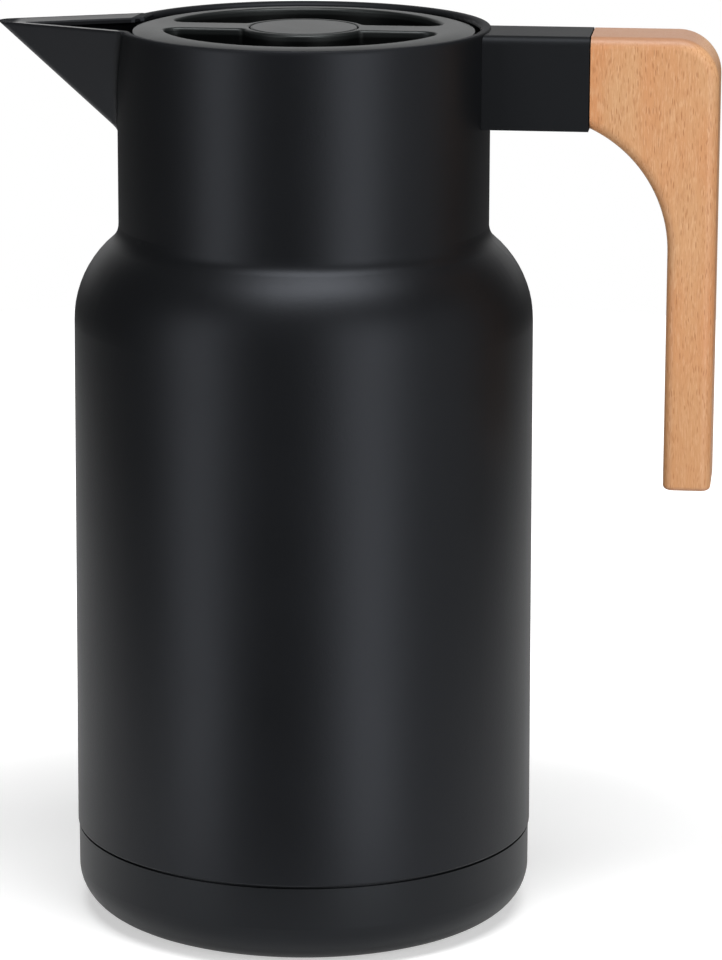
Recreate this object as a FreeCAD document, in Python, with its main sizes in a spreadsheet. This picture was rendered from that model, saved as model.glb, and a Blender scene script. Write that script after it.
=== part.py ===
import FreeCAD, Part
import math
import os
import re

import Sketcher

Vector = FreeCAD.Vector

# Driving sizes of the carafe, in millimetres and degrees.
# Z is up, the table is at zero, the handle points along +X and the spout along -X.
SIZES = {
    # jacket: a drawn can with a shoulder, a straight neck and a rim rolled inwards
    "rim_height": 233.7,
    "body_radius": 60.0,
    "body_taper": 0.6,
    "shoulder_width": 12.2,
    "neck_height": 51.1,
    "neck_fillet": 6.1,
    "shoulder_radius": 26.6,
    "shell_wall": 0.8,
    "rim_lip": 2.7,
    "rim_round": 0.5,
    "lip_round": 1.4,
    "hem_round": 0.6,
    "seam_height": 22.2,
    "seam_gap": 0.5,
    "weld_gap": 0.05,
    # spout: two flat sides that meet in a sloping keel, with a brim turned in along its edge
    "spout_length": 37.4,
    "spout_half_angle": 23.8,
    "spout_slope": 41.8,
    "spout_tip": 4.1,
    "spout_wall": 1.6,
    "brim_edge": 0.4,
    "brim_width": 4.6,
    "brim_fall": 0.45,
    "brim_thick": 1.2,
    "brim_corner": 0.8,
    "inlet_depth": 5.0,
    # vacuum flask, the dish that closes the jacket, and what keeps the vacuum
    "vacuum_gap": 6.6,
    "flask_wall": 0.6,
    "flask_rise": 6.0,
    "flask_corner": 14.0,
    "flask_ledge": 3.4,
    "flask_throat": 20.0,
    "flask_fillet": 8.0,
    "flask_shoulder": 20.0,
    "mouth_depth": 37.7,
    "dish_rise": 5.8,
    "dish_wall": 0.8,
    "dish_flange": 3.0,
    "tip_radius": 4.0,
    "tip_height": 1.5,
    "getter_radius": 6.0,
    "getter_height": 2.6,
    "getter_offset": 25.0,
    # base cup and foot pad
    "base_inset": 0.3,
    "base_round": 10.6,
    "base_wall": 1.5,
    "base_floor": 2.6,
    "base_hollow_round": 8.0,
    "spigot_height": 4.0,
    "spigot_gap": 0.15,
    "foot_margin": 2.6,
    "foot_proud": 0.5,
    "foot_recess": 1.1,
    "foot_gap": 0.1,
    # ring with the three ramps that hold the stopper down
    "ring_height": 9.0,
    "ramp_count": 3,
    "ramp_lead": 10.0,
    "ramp_span": 54.0,
    "ramp_clear": 0.8,
    "ramp_height": 4.6,
    "ramp_thick": 2.2,
    "ramp_root": 0.3,
    "lug_span": 40.0,
    "lug_lag": 7.0,
    "lug_thick": 2.2,
    "lug_clear": 0.4,
    "lug_gap": 0.3,
    # handle arm, its studs and nuts
    "arm_drop": 0.5,
    "arm_height": 23.9,
    "arm_width": 22.0,
    "arm_length": 25.8,
    "arm_wall": 3.0,
    "arm_round": 2.2,
    "arm_root": 8.0,
    "socket_depth": 17.0,
    "stud_radius": 1.5,
    "stud_tail": 1.5,
    "stud_gap": 0.1,
    "nut_wall": 1.25,
    "nut_clear": 1.0,
    "nut_thick": 3.2,
    # beech grip and its screws
    "grip_gap": 0.3,
    "grip_reach": 32.3,
    "grip_width": 12.2,
    "grip_length": 116.5,
    "grip_corner": 11.0,
    "grip_bend": 34.5,
    "grip_step": 0.55,
    "grip_round": 2.8,
    "foot_round": 1.2,
    "tenon_clear": 1.2,
    "tenon_gap": 0.2,
    "screw_radius": 1.75,
    "screw_head": 2.9,
    "screw_head_height": 1.6,
    "screw_length": 11.0,
    "screw_sink": 0.6,
    "screw_edge": 3.3,
    "screw_gap": 0.1,
    # lid cover: plate, skirt, hub and two finger wells
    "lid_drop": 0.4,
    "lid_gap": 1.4,
    "lid_dome": 5.8,
    "lid_fall": 0.9,
    "lid_plate": 2.5,
    "lid_skirt": 2.4,
    "lid_depth": 14.9,
    "lid_ring": 7.6,
    "well_depth": 10.9,
    "well_wall": 1.2,
    "well_corner": 4.2,
    "well_edge": 0.8,
    "bar_width": 10.4,
    "hub_wall": 1.7,
    "hub_corner": 2.0,
    "hub_depth": 13.4,
    "hub_floor": 2.2,
    # stopper under the lid cover
    "stopper_gap": 0.4,
    "stopper_wall": 1.8,
    "stopper_joint": 0.1,
    "stopper_spigot": 8.0,
    "stopper_entry": 8.0,
    "window_count": 6,
    "window_width": 16.0,
    "window_height": 9.0,
    "window_drop": 1.8,
    "gasket_height": 5.0,
    "gasket_depth": 3.0,
    "gasket_gap": 0.3,
    "collar_width": 6.0,
    "collar_lap": 2.0,
    "seat_thick": 2.5,
    "seat_lip": 0.5,
    "seat_opening": 11.5,
    "seat_boss_wall": 1.95,
    "seat_spoke": 3.0,
    "seat_screw_count": 3,
    "seat_screw_radius": 1.4,
    "seat_screw_head": 2.6,
    "seat_screw_head_height": 1.4,
    "seat_screw_length": 6.0,
    # button, spring and valve
    "button_radius": 13.7,
    "button_gap": 0.3,
    "button_top": 2.4,
    "button_stroke": 4.5,
    "button_clear": 0.5,
    "button_wall": 1.6,
    "button_boss_wall": 1.95,
    "button_round": 0.5,
    "stem_radius": 3.0,
    "stem_grip": 4.0,
    "stem_fit": 0.05,
    "bush_wall": 2.0,
    "bush_lip": 1.45,
    "bush_flange_thick": 1.0,
    "bush_tail": 1.5,
    "spring_radius": 8.4,
    "spring_wire": 0.5,
    "spring_turns": 4.5,
    "spring_seat": 0.05,
    "seal_clear": 0.3,
    "valve_thick": 2.0,
    "seal_width": 3.2,
    "seal_thick": 1.5,
    "valve_nut_wall": 1.0,
    "valve_nut_thick": 3.0,
    "stem_tail": 0.6,
}

doc = FreeCAD.newDocument("Carafe")
sheet = doc.addObject("Spreadsheet::Sheet", "Sizes")
for row, (word, number) in enumerate(SIZES.items(), start=1):
    sheet.set(f"A{row}", word)
    sheet.set(f"B{row}", str(number))
    sheet.setAlias(f"B{row}", word)
doc.recompute()

pieces = {}
sums = {}


def let(**named):
    """Names sums of the sheet that more than one line uses."""
    sums.update(named)


def bound(text):
    """The same sum, with each of its words made a reference to the sheet's cells."""

    def reference(found):
        word = found[0]
        if word in sums:
            return f"({bound(sums[word])})"
        return f"Sizes.{word}" if word in SIZES else word

    return re.sub("[a-z][a-z_]*", reference, text)


def size(text):
    """The sum's value at the sheet's present sizes."""
    return float(sheet.evalExpression(bound(text)))


def tie(item, **texts):
    """Binds properties to sums of the sheet. Two underscores stand for a dot."""
    for path, text in texts.items():
        item.setExpression(path.replace("__", "."), bound(text))
    return item


def keep(label, item):
    """Names a finished piece, and its file."""
    item.Label = label
    pieces[label] = item
    return item


def body(name):
    return doc.addObject("PartDesign::Body", name)


def origin(owner, role):
    return next(f for f in owner.Origin.OriginFeatures if f.Role == role)


def pin(sketch, geometry, end, x, y):
    """Holds a point of the sketch at (x, y), each a sum of the sheet."""
    for kind, axis, text in (("DistanceX", -2, x), ("DistanceY", -1, y)):
        if text == "0":
            sketch.addConstraint(Sketcher.Constraint("PointOnObject", geometry, end, axis))
        else:
            rule = Sketcher.Constraint(kind, -1, 1, geometry, end, size(text))
            index = sketch.addConstraint(rule)
            sketch.setExpression(f"Constraints[{index}]", bound(text))


def hold_radius(sketch, geometry, text):
    index = sketch.addConstraint(Sketcher.Constraint("Radius", geometry, size(text)))
    sketch.setExpression(f"Constraints[{index}]", bound(text))


def trace(sketch, outline):
    """Draws a closed outline of corners (x, y).

    A line leaves a corner, or an arc where the corner also gives a radius and the way it turns.
    """
    first = sketch.GeometryCount
    spots = [Vector(size(corner[0]), size(corner[1]), 0) for corner in outline]
    ends = []
    for corner, start, stop in zip(outline, spots, spots[1:] + spots[:1]):
        if len(corner) == 2:
            sketch.addGeometry(Part.LineSegment(start, stop), False)
            ends.append((1, 2))
            continue
        radius = size(corner[2])
        chord = stop - start
        side = 1 if corner[3] == "left" else -1
        across = Vector(-chord.y, chord.x, 0).normalize() * side
        rise = math.sqrt(max(radius**2 - chord.Length**2 / 4, 0))
        centre = (start + stop) / 2 + across * rise
        circle = Part.Circle(centre, Vector(0, 0, 1), radius)
        angles = [math.atan2(p.y - centre.y, p.x - centre.x) for p in (start, stop)]
        sketch.addGeometry(Part.ArcOfCircle(circle, *angles[::side]), False)
        ends.append((1, 2)[::side])
    for index, corner in enumerate(outline):
        this = first + index
        before = first + (index - 1) % len(outline)
        joint = Sketcher.Constraint("Coincident", before, ends[index - 1][1], this, ends[index][0])
        sketch.addConstraint(joint)
        pin(sketch, this, ends[index][0], corner[0], corner[1])
        if len(corner) > 2:
            hold_radius(sketch, this, corner[2])


def draw(owner, role, outlines=(), circles=(), height=None):
    """A sketch on one of the body's origin planes, moved along its normal to height."""
    sketch = owner.newObject("Sketcher::SketchObject", "Sketch")
    sketch.AttachmentSupport = (origin(owner, role), [""])
    sketch.MapMode = "FlatFace"
    if height:
        tie(sketch, AttachmentOffset__Base__z=height)
    for outline in outlines:
        trace(sketch, outline)
    for x, y, radius in circles:
        place = Vector(size(x), size(y), 0)
        circle = Part.Circle(place, Vector(0, 0, 1), size(radius))
        index = sketch.addGeometry(circle, False)
        pin(sketch, index, 3, x, y)
        hold_radius(sketch, index, radius)
    return sketch


def turned(name, outline):
    """A body turned about Z from its half section."""
    owner = body(name)
    spun = owner.newObject("PartDesign::Revolution", "Turned")
    sketch = draw(owner, "XZ_Plane", [outline])
    spun.Profile = sketch
    spun.ReferenceAxis = (sketch, ["V_Axis"])
    spun.Angle = 360
    owner.Tip = spun
    doc.recompute()
    return owner


def raised(owner, sketch, length, **settings):
    pad = owner.newObject("PartDesign::Pad", "Raised")
    pad.Profile = sketch
    for word, value in settings.items():
        setattr(pad, word, value)
    tie(pad, Length=length)
    doc.recompute()
    return pad


def sunk(owner, sketch, length, **settings):
    """A pocket, which has to take something away."""
    before = owner.Shape.Volume
    pocket = owner.newObject("PartDesign::Pocket", "Sunk")
    pocket.Profile = sketch
    for word, value in settings.items():
        setattr(pocket, word, value)
    tie(pocket, Length=length)
    doc.recompute()
    if not owner.Shape.Volume < before:
        raise RuntimeError(f"a pocket of {owner.Name} cuts nothing")
    return pocket


def rounded(owner, radius, wanted):
    """Rounds the edges of the body's present shape that wanted picks."""
    base = owner.Tip
    names = [f"Edge{i}" for i, edge in enumerate(base.Shape.Edges, start=1) if wanted(edge)]
    fillet = owner.newObject("PartDesign::Fillet", "Rounded")
    fillet.Base = (base, names)
    tie(fillet, Radius=radius)
    doc.recompute()
    return fillet


def cut(name, base, tool):
    item = doc.addObject("Part::Cut", name)
    item.Base = base
    item.Tool = tool
    doc.recompute()
    return item


def joined(name, shapes):
    item = doc.addObject("Part::MultiFuse", name)
    item.Shapes = shapes
    doc.recompute()
    return item


def group(label, items):
    """Like pieces that share one file."""
    item = doc.addObject("Part::Compound", "Group")
    item.Links = items
    doc.recompute()
    return keep(label, item)


def near(a, b):
    return abs(a - b) < 1e-4


def shoulder(girth, neck, root, fillet, bend):
    """An S-shaped shoulder: a convex arc that leaves the girth, then a concave one that meets the neck.

    Gives the sums for the radius and height where the arcs meet, the height where the convex arc
    starts, and the cosine and sine of the slope there.
    """
    cosine = f"(1 - ({girth} - {neck}) / ({bend} + {fillet}))"
    sine = f"sqrt(1 - {cosine}^2)"
    meet = (f"({neck} + {fillet} * (1 - {cosine}))", f"({root} - {fillet} * {sine})")
    start = f"({root} - ({bend} + {fillet}) * {sine})"
    return meet, start, cosine, sine


# Outer shell: one drawn steel can, with the spout's mouth cut through its neck.
let(
    neck_radius="body_radius - shoulder_width",
    neck_root="rim_height - neck_height",
    neck_bore="neck_radius - shell_wall",
    lip_bore="neck_radius - rim_lip",
    shell_bore="body_radius - shell_wall",
    shell_bottom="seam_height + seam_gap / 2",
    girth="body_radius - body_taper",
    spout_reach="neck_radius + spout_length",
)
meet, start, cosine, sine = shoulder("girth", "neck_radius", "neck_root", "neck_fillet", "shoulder_radius")
shell_can = turned(
    "ShellCan",
    [
        ("body_radius - hem_round", "shell_bottom", "hem_round", "left"),
        ("body_radius", "shell_bottom + hem_round"),
        ("girth", start, "shoulder_radius", "left"),
        (*meet, "neck_fillet", "right"),
        ("neck_radius", "neck_root"),
        ("neck_radius", "rim_height - rim_round", "rim_round", "left"),
        ("neck_radius - rim_round", "rim_height"),
        ("lip_bore + lip_round", "rim_height", "lip_round", "left"),
        ("lip_bore", "rim_height - lip_round"),
        ("lip_bore + shell_wall", "rim_height - lip_round", "lip_round - shell_wall", "right"),
        ("lip_bore + lip_round", "rim_height - shell_wall"),
        ("neck_bore", "rim_height - shell_wall"),
        ("neck_bore", "neck_root", "neck_fillet + shell_wall", "left"),
        (
            f"{meet[0]} - shell_wall * {cosine}",
            f"{meet[1]} - shell_wall * {sine}",
            "shoulder_radius - shell_wall",
            "right",
        ),
        ("girth - shell_wall", start),
        ("shell_bore", "shell_bottom"),
    ],
)


def beak(inset, tip, fall):
    """Plan of the spout at fall below the rim: a V drawn in by inset, its root inside the neck.

    The keel carries the point of the V towards the neck on the way down, and tip is its radius.
    """
    reach = f"(spout_reach - {inset} / sin(spout_half_angle) - {fall} / tan(spout_slope))"
    root = "(lip_bore - inlet_depth)"
    half = f"({reach} - {root}) * tan(spout_half_angle)"
    bend_x = f"(-{reach} + {tip} / sin(spout_half_angle) - {tip} * sin(spout_half_angle))"
    bend_y = f"{tip} * cos(spout_half_angle)"
    return [
        (f"-{root}", half),
        (bend_x, bend_y, tip, "left"),
        (bend_x, f"-{bend_y}"),
        (f"-{root}", f"-{half}"),
    ]


def slanted(name, inset, tip, fall="0"):
    """The spout's plan at fall below the rim, carried down along the keel until it lies inside the neck."""
    owner = body(name)
    sketch = draw(owner, "XY_Plane", [beak(inset, tip, fall)], height=f"rim_height - {fall}")
    pad = owner.newObject("PartDesign::Pad", "Slanted")
    pad.Profile = sketch
    pad.UseCustomVector = True
    pad.AlongSketchNormal = True
    tie(pad, Direction__x="cos(spout_slope)", Direction__y="0", Direction__z="-sin(spout_slope)")
    tie(pad, Length=f"(spout_reach - neck_bore) * tan(spout_slope) - {fall}")
    doc.recompute()
    return owner


let(brim_under="brim_fall + brim_thick")
brim = body("Brim")
brim_top = draw(brim, "XY_Plane", [beak("brim_edge", "(spout_tip - brim_edge)", "0")], height="rim_height")
brim_foot = draw(
    brim,
    "XY_Plane",
    [beak("brim_width", "brim_corner", "brim_fall")],
    height="rim_height - brim_fall",
)
brim_slope = brim.newObject("PartDesign::AdditiveLoft", "Ruled")
brim_slope.Profile = brim_top
brim_slope.Sections = [brim_foot]
brim_slope.Ruled = True
brim.Tip = brim_slope
doc.recompute()
spout_channel = joined(
    "SpoutChannel",
    [
        slanted("Channel", "spout_wall", "(spout_tip - spout_wall)", "brim_under"),
        slanted("Mouth", "brim_width", "brim_corner"),
        brim,
    ],
)
keep("outer_shell", cut("Shell", shell_can, spout_channel))

# Spout: a pressed horn, open on top between its brims, that ends on the neck's outside.
neck_core = tie(
    doc.addObject("Part::Cylinder", "NeckCore"),
    Radius="neck_radius",
    Height="rim_height",
)
horn = slanted("Horn", "0", "spout_tip")
keep("spout", cut("Spout", cut("HollowHorn", horn, spout_channel), neck_core))

# Inner flask: the vessel itself, with a flange that is welded inside the neck below the spout.
let(
    dish_height="seam_height + dish_rise",
    flask_floor="dish_height + flask_rise",
    flask_radius="body_radius - vacuum_gap",
    flask_neck="neck_bore - flask_ledge",
    flask_bore="flask_neck - flask_wall",
    flask_mouth="rim_height - mouth_depth",
    flask_neck_root="flask_mouth - flask_throat",
)
meet, start, cosine, sine = shoulder(
    "flask_radius", "flask_neck", "flask_neck_root", "flask_fillet", "flask_shoulder"
)
flask = turned(
    "Flask",
    [
        ("0", "flask_floor"),
        ("flask_radius - flask_corner", "flask_floor", "flask_corner", "left"),
        ("flask_radius", "flask_floor + flask_corner"),
        ("flask_radius", start, "flask_shoulder", "left"),
        (*meet, "flask_fillet", "right"),
        ("flask_neck", "flask_neck_root"),
        ("flask_neck", "flask_mouth - flask_wall"),
        ("neck_bore - weld_gap", "flask_mouth - flask_wall"),
        ("neck_bore - weld_gap", "flask_mouth"),
        ("flask_bore", "flask_mouth"),
        ("flask_bore", "flask_neck_root", "flask_fillet + flask_wall", "left"),
        (
            f"{meet[0]} - flask_wall * {cosine}",
            f"{meet[1]} - flask_wall * {sine}",
            "flask_shoulder - flask_wall",
            "right",
        ),
        ("flask_radius - flask_wall", start),
        (
            "flask_radius - flask_wall",
            "flask_floor + flask_corner",
            "flask_corner - flask_wall",
            "right",
        ),
        ("flask_radius - flask_corner", "flask_floor + flask_wall"),
        ("0", "flask_floor + flask_wall"),
    ],
)
keep("inner_flask", flask)

# Jacket bottom: a shallow dish welded into the shell, with the evacuation plug and the getter.
let(dish_radius="shell_bore - weld_gap - body_taper / 4")
dish = turned(
    "Dish",
    [
        ("0", "dish_height"),
        ("dish_radius", "dish_height"),
        ("dish_radius", "dish_height + dish_flange"),
        ("dish_radius - dish_wall", "dish_height + dish_flange"),
        ("dish_radius - dish_wall", "dish_height + dish_wall"),
        ("0", "dish_height + dish_wall"),
    ],
)
keep("jacket_bottom", dish)
seal_tip = tie(
    doc.addObject("Part::Cone", "SealTip"),
    Radius1="tip_radius / 2",
    Radius2="tip_radius",
    Height="tip_height",
    Placement__Base__z="dish_height - tip_height",
)
keep("seal_tip", seal_tip)
getter = tie(
    doc.addObject("Part::Cylinder", "Getter"),
    Radius="getter_radius",
    Height="getter_height",
    Placement__Base__x="getter_offset",
    Placement__Base__z="dish_height + dish_wall",
)
keep("getter", getter)

# Base cup: its spigot goes up inside the shell, and a recess below holds the foot pad.
let(
    base_radius="body_radius - base_inset",
    base_top="seam_height - seam_gap / 2",
    spigot="shell_bore - spigot_gap",
    spigot_bore="spigot - base_wall",
    cup_floor="foot_proud + base_floor",
    foot_radius="base_radius - base_round - foot_margin",
    recess="foot_proud + foot_recess",
)
cup = turned(
    "Cup",
    [
        ("0", "recess"),
        ("foot_radius", "recess"),
        ("foot_radius", "foot_proud"),
        ("base_radius - base_round", "foot_proud", "base_round", "left"),
        ("base_radius", "foot_proud + base_round"),
        ("base_radius", "base_top"),
        ("spigot", "base_top"),
        ("spigot", "base_top + spigot_height"),
        ("spigot_bore", "base_top + spigot_height"),
        ("spigot_bore", "cup_floor + base_hollow_round", "base_hollow_round", "right"),
        ("spigot_bore - base_hollow_round", "cup_floor"),
        ("0", "cup_floor"),
    ],
)
keep("base_cup", cup)
foot = tie(
    doc.addObject("Part::Cylinder", "Foot"),
    Radius="foot_radius - foot_gap",
    Height="recess",
)
keep("foot_pad", foot)


def spiral(name, inner, outer, bottom, thick, first, span):
    """Ledges that climb about Z at the ramps' lead, evenly spaced, one solid each."""
    lead = size("ramp_lead")
    count = round(size("ramp_count"))
    low, high = size(bottom), size(f"{bottom} + {thick}")
    near_axis, far = size(inner), size(outer)
    corners = [(near_axis, low), (far, low), (far, high), (near_axis, high), (near_axis, low)]
    section = Part.makePolygon([Vector(r, 0, z) for r, z in corners])
    path = Part.makeHelix(lead, lead * size(span) / 360, near_axis)
    path.translate(Vector(0, 0, low))
    ledge = Part.Wire(path.Edges).makePipeShell([section], True, True)
    items = []
    for index in range(count):
        item = doc.addObject("Part::Feature", name)
        item.Shape = ledge
        turn = FreeCAD.Rotation(Vector(0, 0, 1), size(first) + index * 360 / count)
        item.Placement = FreeCAD.Placement(Vector(0, 0, 0), turn)
        items.append(item)
    return items


# Neck ring: welded on the flask's flange, with ramps that the stopper's lugs turn under.
band = turned(
    "Band",
    [
        ("lip_bore", "flask_mouth"),
        ("neck_bore - weld_gap", "flask_mouth"),
        ("neck_bore - weld_gap", "flask_mouth + ring_height"),
        ("lip_bore", "flask_mouth + ring_height"),
    ],
)
let(stopper_radius="flask_bore - stopper_gap")
ramps = spiral(
    "Ramp",
    "stopper_radius + ramp_clear",
    "lip_bore + ramp_root",
    "(flask_mouth + ramp_height)",
    "ramp_thick",
    "0",
    "ramp_span",
)
keep("neck_ring", joined("NeckRing", [band, *ramps]))

# Handle arm: a hollow square bar whose end is hollowed to the neck.
let(
    arm_start="neck_radius - arm_root",
    arm_end="neck_radius + arm_length",
    arm_top="rim_height - arm_drop",
    arm_bottom="arm_top - arm_height",
    arm_middle="arm_top - arm_height / 2",
    socket_end="arm_end - socket_depth",
    socket_half_width="arm_width / 2 - arm_wall",
    socket_half_height="arm_height / 2 - arm_wall",
    nut_apothem="stud_radius + nut_wall",
    stud_offset="socket_half_height - nut_apothem - nut_clear",
    grip_face="arm_end + grip_gap",
    tenon_length="grip_gap + socket_depth - nut_thick - stud_tail - tenon_clear",
    screw_x="grip_face - tenon_length / 2",
    screw_y="socket_half_width - tenon_gap - screw_edge",
)
screw_ys = ("screw_y", "-screw_y")
stud_zs = ("arm_middle + stud_offset", "arm_middle - stud_offset")


def rectangle(left, right, low, high):
    return [(left, low), (right, low), (right, high), (left, high)]


arm = body("Arm")
raised(
    arm,
    draw(arm, "XZ_Plane", [rectangle("arm_start", "arm_end", "arm_bottom", "arm_top")]),
    "arm_width",
    SideType="Symmetric",
)
top_of_arm = size("arm_top")


def top_side_edge(edge):
    box = edge.BoundBox
    return near(box.ZMin, top_of_arm) and near(box.YLength, 0)


rounded(arm, "arm_round", top_side_edge)
sunk(
    arm,
    draw(arm, "XY_Plane", circles=[("0", "0", "neck_radius")], height="arm_bottom"),
    "arm_height",
    Reversed=True,
)
socket = rectangle(
    "-socket_half_width",
    "socket_half_width",
    "arm_middle - socket_half_height",
    "arm_middle + socket_half_height",
)
sunk(arm, draw(arm, "YZ_Plane", [socket], height="arm_end"), "socket_depth")
sunk(
    arm,
    draw(
        arm,
        "YZ_Plane",
        circles=[("0", z, "stud_radius + stud_gap") for z in stud_zs],
        height="socket_end",
    ),
    "socket_end - arm_start",
)
screw_holes = [("screw_x", y, "screw_radius + screw_gap") for y in screw_ys]
head_holes = [("screw_x", y, "screw_head + screw_gap") for y in screw_ys]
sunk(arm, draw(arm, "XY_Plane", circles=screw_holes, height="arm_bottom"), "arm_wall", Reversed=True)
sunk(
    arm,
    draw(arm, "XY_Plane", circles=head_holes, height="arm_bottom"),
    "screw_sink + screw_head_height",
    Reversed=True,
)
keep("handle_arm", arm)

# Studs stand on the neck, and their nuts clamp the arm from inside its socket.
lying = FreeCAD.Rotation(Vector(0, 1, 0), 90)
flat_up = lying.multiply(FreeCAD.Rotation(Vector(0, 0, 1), 30))
studs, nuts = [], []
for z in stud_zs:
    stud = doc.addObject("Part::Cylinder", "Stud")
    stud.Placement.Rotation = lying
    tie(
        stud,
        Radius="stud_radius",
        Height="socket_end + nut_thick + stud_tail - neck_radius",
        Placement__Base__x="neck_radius",
        Placement__Base__z=z,
    )
    studs.append(stud)
    blank = doc.addObject("Part::Prism", "NutBlank")
    blank.Polygon = 6
    blank.Placement.Rotation = flat_up
    tie(
        blank,
        Circumradius="nut_apothem / cos(30)",
        Height="nut_thick",
        Placement__Base__x="socket_end",
        Placement__Base__z=z,
    )
    hole = doc.addObject("Part::Cylinder", "NutHole")
    hole.Placement.Rotation = lying
    tie(
        hole,
        Radius="stud_radius + stem_fit",
        Height="nut_thick",
        Placement__Base__x="socket_end",
        Placement__Base__z=z,
    )
    nuts.append(cut("Nut", blank, hole))
group("arm_studs", studs)
group("arm_nuts", nuts)

# Beech grip: an L sawn from a board, with a tenon in the arm's socket.
let(
    grip_outer="grip_face + grip_reach",
    grip_inner="grip_outer - grip_width",
    grip_bottom="arm_top - grip_length",
    bend_run="grip_bend - grip_inner + grip_face",
    bend_top="arm_bottom + grip_step",
    bend_height="bend_top - sqrt(grip_bend^2 - bend_run^2)",
)
grip = body("Grip")
raised(
    grip,
    draw(
        grip,
        "XZ_Plane",
        [
            [
                ("grip_inner", "grip_bottom"),
                ("grip_outer", "grip_bottom"),
                ("grip_outer", "arm_top - grip_corner", "grip_corner", "left"),
                ("grip_outer - grip_corner", "arm_top"),
                ("grip_face", "arm_top"),
                ("grip_face", "bend_top", "grip_bend", "right"),
                ("grip_inner", "bend_height"),
            ]
        ],
    ),
    "arm_width",
    SideType="Symmetric",
)
face_x = size("grip_face")
foot_z = size("grip_bottom")


def on_foot(edge):
    return near(edge.BoundBox.ZMax, foot_z)


def side_edge(edge):
    box = edge.BoundBox
    return near(box.YLength, 0) and not near(box.XMax, face_x) and not on_foot(edge)


rounded(grip, "grip_round", side_edge)
rounded(grip, "foot_round", on_foot)
tenon = rectangle(
    "-socket_half_width + tenon_gap",
    "socket_half_width - tenon_gap",
    "arm_middle - socket_half_height + tenon_gap",
    "arm_middle + socket_half_height - tenon_gap",
)
raised(grip, draw(grip, "YZ_Plane", [tenon], height="grip_face"), "tenon_length", Reversed=True)
sunk(
    grip,
    draw(grip, "XY_Plane", circles=screw_holes, height="arm_bottom"),
    "screw_sink + screw_length + screw_gap",
    Reversed=True,
)
keep("handle_grip", grip)


def screw(name, head, head_height, shank, length):
    """A pan-head screw that points up, its head's face at zero."""
    return turned(
        name,
        [
            ("0", "0"),
            (head, "0"),
            (head, head_height),
            (shank, head_height),
            (shank, length),
            ("0", length),
        ],
    )


grip_screws = []
for y in screw_ys:
    item = screw("GripScrew", "screw_head", "screw_head_height", "screw_radius", "screw_length")
    tie(
        item,
        Placement__Base__x="screw_x",
        Placement__Base__y=y,
        Placement__Base__z="arm_bottom + screw_sink",
    )
    grip_screws.append(item)
group("grip_screws", grip_screws)

# Lid cover: plate, skirt and hub in one turning, with two finger wells let into it.
let(
    lid_top="rim_height - lid_drop",
    lid_bottom="lid_top - lid_depth",
    lid_radius="lip_bore - lid_gap",
    plate_bottom="lid_top - lid_plate",
    skirt_bore="lid_radius - lid_skirt",
    well_radius="lid_radius - lid_ring",
    dome_radius="(lid_dome^2 + lid_fall^2) / (2 * lid_fall)",
    hub_bore="button_radius + button_gap",
    hub_radius="hub_bore + hub_wall",
    hub_floor_top="lid_top - hub_depth",
    hub_floor_bottom="hub_floor_top - hub_floor",
    bush_bore="stem_radius + stem_fit",
    bush_radius="bush_bore + bush_wall",
)
lid = turned(
    "Lid",
    [
        ("hub_bore", "lid_top"),
        ("hub_bore", "hub_floor_top"),
        ("bush_radius + stem_fit", "hub_floor_top"),
        ("bush_radius + stem_fit", "hub_floor_bottom"),
        ("hub_radius", "hub_floor_bottom"),
        ("hub_radius", "plate_bottom"),
        ("skirt_bore", "plate_bottom"),
        ("skirt_bore", "lid_bottom"),
        ("lid_radius", "lid_bottom"),
        ("lid_radius", "lid_top - lid_fall", "dome_radius", "left"),
        ("lid_radius - lid_dome", "lid_top"),
    ],
)


def well(grow, way):
    """Plan of a finger well on the +Y side (way "") or the -Y side (way "-"), swollen by grow.

    It runs along the bar, round a corner, along the ring and back round the hub.
    """
    chord = f"(bar_width / 2 - {grow})"
    ring = f"(well_radius + {grow})"
    hub = f"(hub_radius - {grow})"
    corner = f"(well_corner + {grow})"
    inner = f"(hub_corner + {grow})"
    corner_x = f"sqrt(({ring} - {corner})^2 - ({chord} + {corner})^2)"
    inner_x = f"sqrt(({hub} + {inner})^2 - ({chord} + {inner})^2)"
    ring_x = f"{corner_x} * {ring} / ({ring} - {corner})"
    ring_y = f"({chord} + {corner}) * {ring} / ({ring} - {corner})"
    hub_x = f"{inner_x} * {hub} / ({hub} + {inner})"
    hub_y = f"({chord} + {inner}) * {hub} / ({hub} + {inner})"
    turn, back = ("left", "right") if not way else ("right", "left")
    return [
        (inner_x, f"{way}{chord}"),
        (corner_x, f"{way}{chord}", corner, turn),
        (ring_x, f"{way}{ring_y}", ring, turn),
        (f"-{ring_x}", f"{way}{ring_y}", corner, turn),
        (f"-{corner_x}", f"{way}{chord}"),
        (f"-{inner_x}", f"{way}{chord}", inner, turn),
        (f"-{hub_x}", f"{way}{hub_y}", hub, back),
        (hub_x, f"{way}{hub_y}", inner, turn),
    ]


tubs = draw(lid, "XY_Plane", [well("well_wall", ""), well("well_wall", "-")], height="plate_bottom")
raised(lid, tubs, "well_depth + well_wall - lid_plate", Reversed=True)
wells = draw(lid, "XY_Plane", [well("0", ""), well("0", "-")], height="lid_top")
sunk(lid, wells, "well_depth")
top_of_lid = size("lid_top")
outside_of_lid = size("lid_radius - lid_dome")
mouth_of_hub = size("hub_bore")


def on_top(edge):
    return near(edge.BoundBox.ZMin, top_of_lid) and near(edge.BoundBox.ZMax, top_of_lid)


def hub_mouth(edge):
    return on_top(edge) and near(edge.BoundBox.XMax, mouth_of_hub)


def well_rim(edge):
    return on_top(edge) and not hub_mouth(edge) and not near(edge.BoundBox.XMax, outside_of_lid)


rounded(lid, "well_edge", well_rim)
rounded(lid, "button_round", hub_mouth)
keep("lid_cover", lid)

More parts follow.
